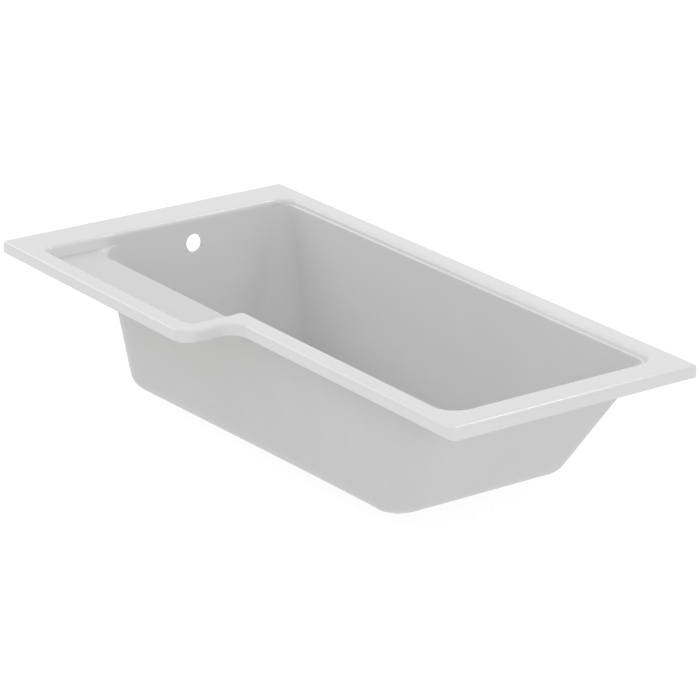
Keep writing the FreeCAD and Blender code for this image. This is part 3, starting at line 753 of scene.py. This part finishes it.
def gloss_acrylic():
    """Cast acrylic (PMMA) drawn over a mould: a clean white gloss whose reflections waver softly, duller on
    the shelf, where the colour is painted darker as shade.
    """
    material, tree = new_material("gloss_white_pmma_thermoformed")
    gloss = blend_colours(tree, patches(tree, 260).outputs["Fac"], "#D4D4D4", "#D2D2D2")
    # The shelf's darker colour is painted shade for its recess; the higher roughness given to it below is a
    # real matt finish.
    painted_shade_colour = blend_colours(tree, patches(tree, 2, 1).outputs["Fac"], "#C4C4C4", "#C9C9C9")
    shelf_matt_and_shade_mask = shelf_matt_and_painted_shade(tree)
    colour = add(tree, "ShaderNodeMix", {"data_type": "RGBA"}, {0: shelf_matt_and_shade_mask, 6: gloss, 7: painted_shade_colour}).outputs[2]
    waver = add(tree, "ShaderNodeMapRange", inputs={"Value": patches(tree, 45).outputs["Fac"],
                                                    "To Min": 0.13, "To Max": 0.17}).outputs[0]
    rough = add(tree, "ShaderNodeMapRange", inputs={"Value": shelf_matt_and_shade_mask, "To Min": waver, "To Max": 0.45})
    wave = add(tree, "ShaderNodeBump", inputs={"Height": patches(tree, 30, 1).outputs["Fac"],
                                               "Strength": 0.06, "Distance": 0.4 * MM})
    shader = add(tree, "ShaderNodeBsdfPrincipled",
                 inputs={"Base Color": colour, "Roughness": rough.outputs["Result"], "IOR": 1.49,
                         "Normal": wave.outputs["Normal"]})
    close(tree, shader)
    return material


# %% White coat over rolled laminate
def coated_laminate():
    """Rolled glass fibre under a white flow coat: a soft sheen, with faint strands below the coat."""
    material, tree = new_material("white_flowcoat_on_rolled_glass_fibre")
    strands = patches(tree, 9, 4, (0.25, 1, 0.7))
    colour = blend_colours(tree, patches(tree, 120, 3).outputs["Fac"], "#C2C2C2", "#C0C0C0")
    bump = add(tree, "ShaderNodeBump", inputs={"Height": strands.outputs["Fac"], "Strength": 0.08,
                                               "Distance": 0.5 * MM})
    shader = add(tree, "ShaderNodeBsdfPrincipled",
                 inputs={"Base Color": colour, "Roughness": 0.42, "IOR": 1.5,
                         "Normal": bump.outputs["Normal"]})
    close(tree, shader)
    return material


# %% Bare glass fibre laminate
def strands_along(tree, degrees, width_mm=3, length_mm=50):
    """Noise drawn out into strands that run at an angle in plan."""
    place = add(tree, "ShaderNodeTexCoord").outputs["Object"]
    turned = add(tree, "ShaderNodeMapping", {"vector_type": "TEXTURE"},
                 {"Vector": place, "Rotation": (0, 0, math.radians(degrees)),
                  "Scale": (length_mm * MM, width_mm * MM, width_mm * MM)}).outputs[0]
    return add(tree, "ShaderNodeTexNoise",
               inputs={"Vector": turned, "Scale": 1.0, "Detail": 1.0}).outputs[0]


def bare_laminate():
    """Rolled laminate without a coat: milky green-white resin with chopped glass lying all ways."""
    material, tree = new_material("bare_rolled_glass_fibre_laminate")
    # The strands are as long as real ones, 50 mm, and drawn coarser: 3 mm wide, where a real one has
    # 1 to 2.
    strands = strands_along(tree, 8)
    for degrees in (42, 77, 112, 151):
        strands = add(tree, "ShaderNodeMath", {"operation": "MAXIMUM"},
                      {0: strands, 1: strands_along(tree, degrees)}).outputs[0]
    colour = blend_colours(tree, strands, "#CFD2C4", "#E4E5DC", 0.55, 0.78)
    bump = add(tree, "ShaderNodeBump", inputs={"Height": strands, "Strength": 0.35, "Distance": 0.4 * MM})
    rough = add(tree, "ShaderNodeMapRange", inputs={"Value": strands, "To Min": 0.3, "To Max": 0.5})
    shader = add(tree, "ShaderNodeBsdfPrincipled",
                 inputs={"Base Color": colour, "Roughness": rough.outputs["Result"], "IOR": 1.53,
                         "Normal": bump.outputs["Normal"]})
    close(tree, shader)
    return material


# %% Filled resin, particle board and softwood
def filled_resin():
    """Polyester resin thickened with chalk: a dull grey-cream with darker specks and small pores."""
    material, tree = new_material("chalk_filled_polyester_resin")
    specks = patches(tree, 1.5, 3).outputs["Fac"]
    colour = blend_colours(tree, specks, "#B9B3A2", "#CDC8B9", 0.35, 0.6)
    bump = add(tree, "ShaderNodeBump", inputs={"Height": specks, "Strength": 0.3, "Distance": 0.3 * MM})
    close(tree, add(tree, "ShaderNodeBsdfPrincipled",
                    inputs={"Base Color": colour, "Roughness": 0.62, "IOR": 1.54,
                            "Normal": bump.outputs["Normal"]}))
    return material


def particle_board():
    """Pressed wood chips, sanded: flat flakes 3 to 8 mm long in tan and light brown."""
    material, tree = new_material("sanded_particle_board")
    place = add(tree, "ShaderNodeTexCoord")
    scaled = add(tree, "ShaderNodeMapping", inputs={"Vector": place.outputs["Object"],
                                                    "Scale": (1 / (6 * MM), 1 / (3 * MM), 1 / (2 * MM))})
    chips = add(tree, "ShaderNodeTexVoronoi", inputs={"Vector": scaled.outputs["Vector"], "Scale": 1.0})
    split = add(tree, "ShaderNodeSeparateColor", inputs={"Color": chips.outputs["Color"]})
    colour = blend_colours(tree, split.outputs["Red"], "#A98458", "#D3B68A", 0.0, 1.0)
    bump = add(tree, "ShaderNodeBump", inputs={"Height": chips.outputs["Distance"], "Strength": 0.2,
                                               "Distance": 0.2 * MM})
    close(tree, add(tree, "ShaderNodeBsdfPrincipled",
                    inputs={"Base Color": colour, "Roughness": 0.75, "Normal": bump.outputs["Normal"]}))
    return material


def sawn_spruce(along):
    """Sawn spruce: pale yellow wood with year rings about 3 mm apart that run along the batten."""
    material, tree = new_material("sawn_spruce_grain_along_" + along)
    stretch = (0.03, 1, 1) if along == "x" else (1, 0.03, 1)
    rings = patches(tree, 3, 4, stretch).outputs["Fac"]
    colour = blend_colours(tree, rings, "#C9A26A", "#E6CB9A", 0.35, 0.65)
    bump = add(tree, "ShaderNodeBump", inputs={"Height": rings, "Strength": 0.25, "Distance": 0.3 * MM})
    close(tree, add(tree, "ShaderNodeBsdfPrincipled",
                    inputs={"Base Color": colour, "Roughness": 0.7, "Normal": bump.outputs["Normal"]}))
    return material


# %% Put the finishes on
def dress(piece, material):
    """Gives every slot of a piece the same material."""
    piece.data.materials.clear()
    piece.data.materials.append(material)


dress(sheet, gloss_acrylic())
dress(laminate, coated_laminate())
laminate_finish = bare_laminate()
spruce = {"x": sawn_spruce("x"), "y": sawn_spruce("y")}
node_finishes = {"board_bedding": filled_resin(), "baseboard": particle_board(),
                 "baseboard_overlay": laminate_finish}
node_finishes["shelf_board"] = node_finishes["baseboard"]
for node in frame["nodes"]:
    if node.endswith("_batten"):
        low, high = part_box(node)
        node_finishes[node] = spruce["x" if high.x - low.x > high.y - low.y else "y"]
for node, finish in node_finishes.items():
    for slot in bpy.data.objects[node].material_slots:
        slot.material = finish
print("dressed nodes:", sorted(node_finishes))

# %% [markdown]
# ## Laminate over battens and shelf board
# On the real bath each batten is held under the rim by wet laminate that is rolled over it, so every one
# of these skins is the same thing at another size: a thin cover with soft edges and a lumpy face. That is a
# rule, so one Geometry Nodes tree makes all seven. A cube is divided, its edges are drawn in to a round,
# noise lets the faces sag a little, and the block's own shape is cut out of it.

# %% The tree for a laminate cover
CUT_OVERRUN = 1 * MM


def cover_tree():
    """A laminate cover between an outer box and the block that it holds."""
    tree = bpy.data.node_groups.new("laminate_cover", "GeometryNodeTree")
    face = tree.interface
    for name, kind in (("Outer Low", "Vector"), ("Outer High", "Vector"), ("Block Low", "Vector"),
                       ("Block High", "Vector"), ("Mesh Step", "Float"), ("Edge Radius", "Float"),
                       ("Lump Height", "Float"), ("Lump Size", "Float"), ("Seed", "Float"),
                       ("Finish", "Material")):
        face.new_socket(name, in_out="INPUT", socket_type="NodeSocket" + kind)
    face.new_socket("Geometry", in_out="OUTPUT", socket_type="NodeSocketGeometry")
    given = tree.nodes.new("NodeGroupInput").outputs

    def vector(operation, first, second=None, factor=None):
        inputs = {0: first}
        if second is not None:
            inputs[1] = second
        if factor is not None:
            inputs["Scale"] = factor
        return add(tree, "ShaderNodeVectorMath", {"operation": operation}, inputs).outputs[0]

    def number(operation, first, second=0.0):
        return add(tree, "ShaderNodeMath", {"operation": operation}, {0: first, 1: second}).outputs[0]

    def split(value):
        return add(tree, "ShaderNodeSeparateXYZ", inputs={0: value}).outputs

    def join(x, y, z):
        return add(tree, "ShaderNodeCombineXYZ", inputs={0: x, 1: y, 2: z}).outputs[0]

    size = vector("SUBTRACT", given["Outer High"], given["Outer Low"])
    centre = vector("SCALE", vector("ADD", given["Outer High"], given["Outer Low"]), factor=0.5)
    steps = [number("CEIL", number("DIVIDE", side, given["Mesh Step"])) for side in split(size)[:3]]
    counts = [number("ADD", step, 1.0) for step in steps]
    cube = add(tree, "GeometryNodeMeshCube",
               inputs={"Size": size, "Vertices X": counts[0], "Vertices Y": counts[1],
                       "Vertices Z": counts[2]}).outputs["Mesh"]
    # The core is the box inside the rounds. It reaches the top, where the cover meets the bath.
    radius = given["Edge Radius"]
    place = add(tree, "GeometryNodeInputPosition").outputs[0]
    half_size = vector("SCALE", size, factor=0.5)
    core_high = vector("SUBTRACT", half_size, join(radius, radius, 0.0))
    core_low = vector("ADD", vector("SCALE", half_size, factor=-1.0), join(radius, radius, radius))
    inside_core = vector("MAXIMUM", vector("MINIMUM", place, core_high), core_low)
    away = vector("NORMALIZE", vector("SUBTRACT", place, inside_core))
    noise_place = vector("ADD", vector("ADD", place, centre), join(given["Seed"], given["Seed"], 0.0))
    noise = add(tree, "ShaderNodeTexNoise",
                inputs={"Vector": noise_place, "Scale": number("DIVIDE", 1.0, given["Lump Size"]),
                        "Detail": 1.0}).outputs[0]
    fade = add(tree, "ShaderNodeMapRange",
               inputs={"Value": number("SUBTRACT", split(half_size)[2], split(place)[2]),
                       "From Min": 0.0, "From Max": radius}).outputs[0]
    reach = number("SUBTRACT", radius, number("MULTIPLY", number("MULTIPLY", noise, fade),
                                              given["Lump Height"]))
    drawn_in = vector("ADD", vector("ADD", inside_core, vector("SCALE", away, factor=reach)), centre)
    skin = add(tree, "GeometryNodeSetPosition", inputs={"Geometry": cube, "Position": drawn_in})
    # The block is cut out a little past the top, so that the cut is clean there.
    block_high = vector("ADD", given["Block High"], (0.0, 0.0, CUT_OVERRUN))
    block_size = vector("SUBTRACT", block_high, given["Block Low"])
    block_centre = vector("SCALE", vector("ADD", block_high, given["Block Low"]), factor=0.5)
    block = add(tree, "GeometryNodeMeshCube", inputs={"Size": block_size}).outputs["Mesh"]
    block = add(tree, "GeometryNodeTransform", inputs={"Geometry": block, "Translation": block_centre})
    cut_out = add(tree, "GeometryNodeMeshBoolean", {"operation": "DIFFERENCE", "solver": "EXACT"},
                  {"Mesh 1": skin.outputs["Geometry"], "Mesh 2": block.outputs["Geometry"]})
    real = add(tree, "GeometryNodeRealizeInstances", inputs={"Geometry": cut_out.outputs["Mesh"]})
    dressed = add(tree, "GeometryNodeSetMaterial", inputs={"Geometry": real.outputs["Geometry"],
                                                          "Material": given["Finish"]})
    end = tree.nodes.new("NodeGroupOutput")
    tree.links.new(dressed.outputs["Geometry"], end.inputs["Geometry"])
    return tree


# %% Grow the seven covers
COVER_SHARP_DEGREES = 35


def grow(name, tree, values):
    """Runs a tree with its inputs set, and keeps the result as a plain mesh."""
    piece = bpy.data.objects.new(name, bpy.data.meshes.new(name))
    bpy.context.scene.collection.objects.link(piece)
    modifier = piece.modifiers.new("grow", "NODES")
    modifier.node_group = tree
    sockets = {item.name: item.identifier for item in tree.interface.items_tree if item.in_out == "INPUT"}
    for key, value in values.items():
        modifier[sockets[key]] = value
    bpy.context.view_layer.update()
    evaluated = piece.evaluated_get(bpy.context.evaluated_depsgraph_get())
    mesh = bpy.data.meshes.new_from_object(evaluated)
    piece.modifiers.clear()
    piece.data = mesh
    smooth(piece, COVER_SHARP_DEGREES)
    return piece


tree = cover_tree()
covers = sorted(n for n in frame["nodes"] if n.endswith("_overlay") and n != "baseboard_overlay")
for seed, node in enumerate(covers):
    block = node[:-len("_overlay")]
    (low, high), (block_low, block_high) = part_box(node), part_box(block)
    cover = grow(block + "_laminate", tree, {
        "Outer Low": low, "Outer High": high, "Block Low": block_low, "Block High": block_high,
        "Mesh Step": 7 * MM, "Edge Radius": 3 * MM, "Lump Height": 0.7 * MM, "Lump Size": 14 * MM,
        "Seed": float(seed), "Finish": laminate_finish})
    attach(cover, "root")
    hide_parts(node)
    print(cover.name, "faces", len(cover.data.polygons))

# %% [markdown]
# ## Studio
# The photograph shows the bath on plain white, in light that is even from all sides. A pale floor, a
# white surrounding that is brighter overhead, two large soft lights and a small one give the same soft
# shading.

# %% Floor, light and camera
FLOOR_SIZE = 60


def pale_floor():
    """Matt studio paper. It glows, so that it stays nearly white and takes only a faint shade."""
    material, tree = new_material("matt_studio_paper")
    colour = blend_colours(tree, patches(tree, 900).outputs["Fac"], "#6E6E6E", "#6C6C6C")
    close(tree, add(tree, "ShaderNodeBsdfPrincipled",
                    inputs={"Base Color": colour, "Roughness": 0.9, "Emission Color": linear("#FFFFFF"),
                            "Emission Strength": 0.88}))
    return material


floor_mesh = bpy.data.meshes.new("studio_floor")
half = FLOOR_SIZE / 2
floor_mesh.from_pydata([(-half, -half, 0), (half, -half, 0), (half, half, 0), (-half, half, 0)], [],
                       [(0, 1, 2, 3)])
floor_piece = bpy.data.objects.new("studio_floor", floor_mesh)
bpy.context.scene.collection.objects.link(floor_piece)
floor_mesh.materials.append(pale_floor())

world = bpy.data.worlds.new("white_surrounding")
bpy.context.scene.world = world
world.use_nodes = True
world.node_tree.nodes.clear()
HORIZON_LIGHT, ZENITH_LIGHT = 0.74, 1.01
direction_of_sky = add(world.node_tree, "ShaderNodeTexCoord").outputs["Generated"]
height = add(world.node_tree, "ShaderNodeSeparateXYZ", inputs={0: direction_of_sky}).outputs[2]
strength = add(world.node_tree, "ShaderNodeMapRange",
               inputs={"Value": height, "To Min": HORIZON_LIGHT, "To Max": ZENITH_LIGHT}).outputs[0]
sky = add(world.node_tree, "ShaderNodeBackground", inputs={"Color": linear("#FFFFFF"),
                                                           "Strength": strength})
add(world.node_tree, "ShaderNodeOutputWorld", inputs={"Surface": sky.outputs["Background"]})


def soft_light(name, place, aim, size, watts):
    """A square light with soft shadows at a place, turned to a point."""
    light = bpy.data.lights.new(name, "AREA")
    light.size = size
    light.energy = watts
    lamp = bpy.data.objects.new(name, light)
    lamp.location = place
    lamp.rotation_euler = (Vector(aim) - Vector(place)).to_track_quat("-Z", "Y").to_euler()
    bpy.context.scene.collection.objects.link(lamp)


soft_light("key_softbox", (3.9, -1.7, 2.9), (0, 0, 0.25), 2.2, 24)
soft_light("far_softbox", (-0.14, 1.65, 2.65), (0.6, 0, 0.4), 0.8, 12)
soft_light("side_softbox", (-3.6, -1.7, 2.9), (0.1, -0.3, 0.4), 2.4, 30)

CAMERA_AZIMUTH, CAMERA_ELEVATION, CAMERA_ROLL = (math.radians(a) for a in (54.73, 20.16, 0.04))
CAMERA_AIM = Vector((0.0768, -0.0017, 0.3012))
CAMERA_DISTANCE = 8.079
LENS_MM, SENSOR_MM, FARTHEST_SEEN = 173.4, 36, 200
camera_data = bpy.data.cameras.new("camera")
camera_data.lens = LENS_MM
camera_data.sensor_width = SENSOR_MM
camera_data.clip_end = FARTHEST_SEEN
camera = bpy.data.objects.new("camera", camera_data)
direction = Vector((math.sin(CAMERA_AZIMUTH) * math.cos(CAMERA_ELEVATION),
                    -math.cos(CAMERA_AZIMUTH) * math.cos(CAMERA_ELEVATION), math.sin(CAMERA_ELEVATION)))
camera.location = CAMERA_AIM + direction * CAMERA_DISTANCE
turn = (-direction).to_track_quat("-Z", "Y").to_matrix() @ Matrix.Rotation(CAMERA_ROLL, 3, "Z")
camera.rotation_euler = turn.to_euler()
bpy.context.scene.collection.objects.link(camera)
bpy.context.scene.camera = camera
bpy.context.scene.view_settings.view_transform = "Standard"
